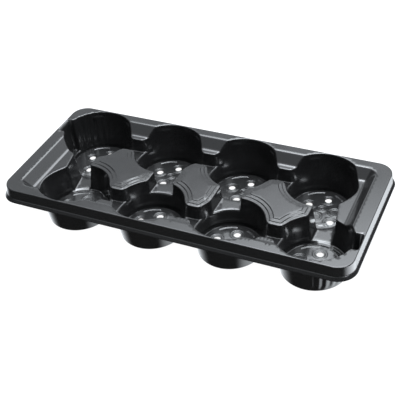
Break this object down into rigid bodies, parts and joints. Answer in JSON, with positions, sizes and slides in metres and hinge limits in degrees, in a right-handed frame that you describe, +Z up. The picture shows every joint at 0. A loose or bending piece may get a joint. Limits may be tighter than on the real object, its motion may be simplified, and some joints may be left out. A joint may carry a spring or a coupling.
{
  "type": "plant pot carry tray",
  "caption": "Shallow black thermoformed tray with two staggered rows of tapered round pockets, drained raised floors and a flanged rim with a flared skirt.",
  "frame": {"origin": "under the middle of the tray, on the surface that its pocket floors stand on", "axes": "+X along the tray's long side, +Y across it towards the row of pockets that is shifted to -X, +Z up out of the pockets"},
  "size_m": [0.5636, 0.2546, 0.067],
  "materials": {
    "black_plastic": "smooth glossy thermoformed sheet, black"
  },
  "bodies": {
    "root": {"edge_lip": "black_plastic", "end_deck_left": "black_plastic", "end_deck_right": "black_plastic", "island_centre": "black_plastic", "island_left": "black_plastic", "island_right": "black_plastic", "neck_left": "black_plastic", "neck_right": "black_plastic", "pocket_floor_back_1": "black_plastic", "pocket_floor_back_2": "black_plastic", "pocket_floor_back_3": "black_plastic", "pocket_floor_back_4": "black_plastic", "pocket_floor_front_1": "black_plastic", "pocket_floor_front_2": "black_plastic", "pocket_floor_front_3": "black_plastic", "pocket_floor_front_4": "black_plastic", "pocket_wall_back_1": "black_plastic", "pocket_wall_back_2": "black_plastic", "pocket_wall_back_3": "black_plastic", "pocket_wall_back_4": "black_plastic", "pocket_wall_front_1": "black_plastic", "pocket_wall_front_2": "black_plastic", "pocket_wall_front_3": "black_plastic", "pocket_wall_front_4": "black_plastic", "rim_flange": "black_plastic", "rim_skirt": "black_plastic", "saddle_left": "black_plastic", "saddle_right": "black_plastic", "shoulder_back_1": "black_plastic", "shoulder_back_2": "black_plastic", "shoulder_back_3": "black_plastic", "shoulder_front_1": "black_plastic", "shoulder_front_2": "black_plastic", "shoulder_front_3": "black_plastic", "web_back_1": "black_plastic", "web_back_2": "black_plastic", "web_back_3": "black_plastic", "web_front_1": "black_plastic", "web_front_2": "black_plastic", "web_front_3": "black_plastic"}
  },
  "joints": []
}
